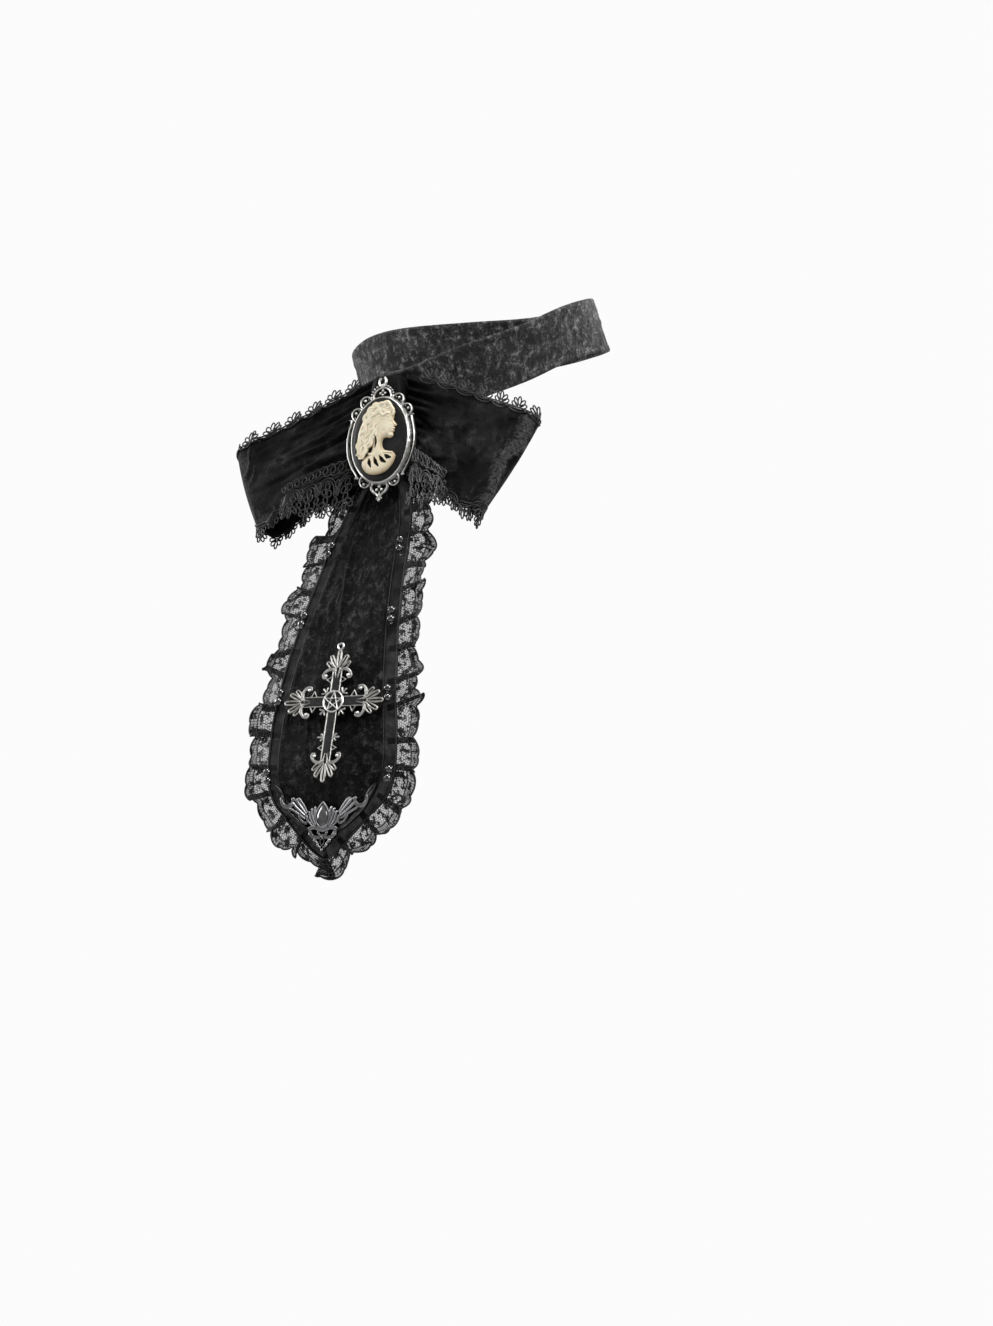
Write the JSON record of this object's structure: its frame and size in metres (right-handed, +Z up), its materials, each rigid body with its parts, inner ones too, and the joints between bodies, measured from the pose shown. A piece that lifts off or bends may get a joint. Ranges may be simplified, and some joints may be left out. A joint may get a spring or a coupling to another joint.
{
  "type": "jabot",
  "caption": "Black cloth jabot: neckband with a flat bow, oval cameo, and a lace-edged hanging tail with a cross, a metal tip ornament and small beads.",
  "frame": {"origin": "centre of the neckband's loop, where the wearer's neck is", "axes": "+Z up along the wearer's neck, -Y to the front where the bow and the tail are, +X to the wearer's left"},
  "size_m": [0.1766, 0.2029, 0.2988],
  "materials": {
    "taffeta": "crinkled black taffeta with a grey sheen",
    "bow_cloth": "soft matte black cloth with fine creases",
    "black_lace": "black corded lace",
    "sheer_strip": "half-sheer black net over cloth",
    "antique_silver": "antique silver, brown tarnish in the hollows",
    "gunmetal": "dark polished cast metal",
    "ivory_resin": "moulded cream resin, satin",
    "black_ground": "polished black resin",
    "black_enamel": "black enamel, satin",
    "grey_stone": "polished dark grey stone",
    "black_beads": "glossy black"
  },
  "bodies": {
    "root": {"neckband": "taffeta", "tail_panel": "taffeta", "bow_loop_left": "bow_cloth", "bow_loop_right": "bow_cloth", "bow_knot": "bow_cloth", "edging_top_left": "black_lace", "edging_top_right": "black_lace", "edging_bottom_left": "black_lace", "edging_bottom_right": "black_lace", "guipure_left": "black_lace", "guipure_right": "black_lace", "pleated_lace": "black_lace", "tail_border": "sheer_strip", "cameo_setting": "antique_silver", "cross": "antique_silver", "tip_ornament": "gunmetal", "nape_clasp": "gunmetal", "cameo_relief": "ivory_resin", "cameo_ground": "black_ground", "cross_enamel": "black_enamel", "tip_stone": "grey_stone", "bead_left_1a": "black_beads", "bead_left_1b": "black_beads", "bead_left_2a": "black_beads", "bead_left_2b": "black_beads", "bead_left_3a": "black_beads", "bead_left_3b": "black_beads", "bead_left_4a": "black_beads", "bead_left_4b": "black_beads", "bead_right_1a": "black_beads", "bead_right_1b": "black_beads", "bead_right_2a": "black_beads", "bead_right_2b": "black_beads", "bead_right_3a": "black_beads", "bead_right_3b": "black_beads", "bead_right_4a": "black_beads", "bead_right_4b": "black_beads"}
  },
  "joints": []
}
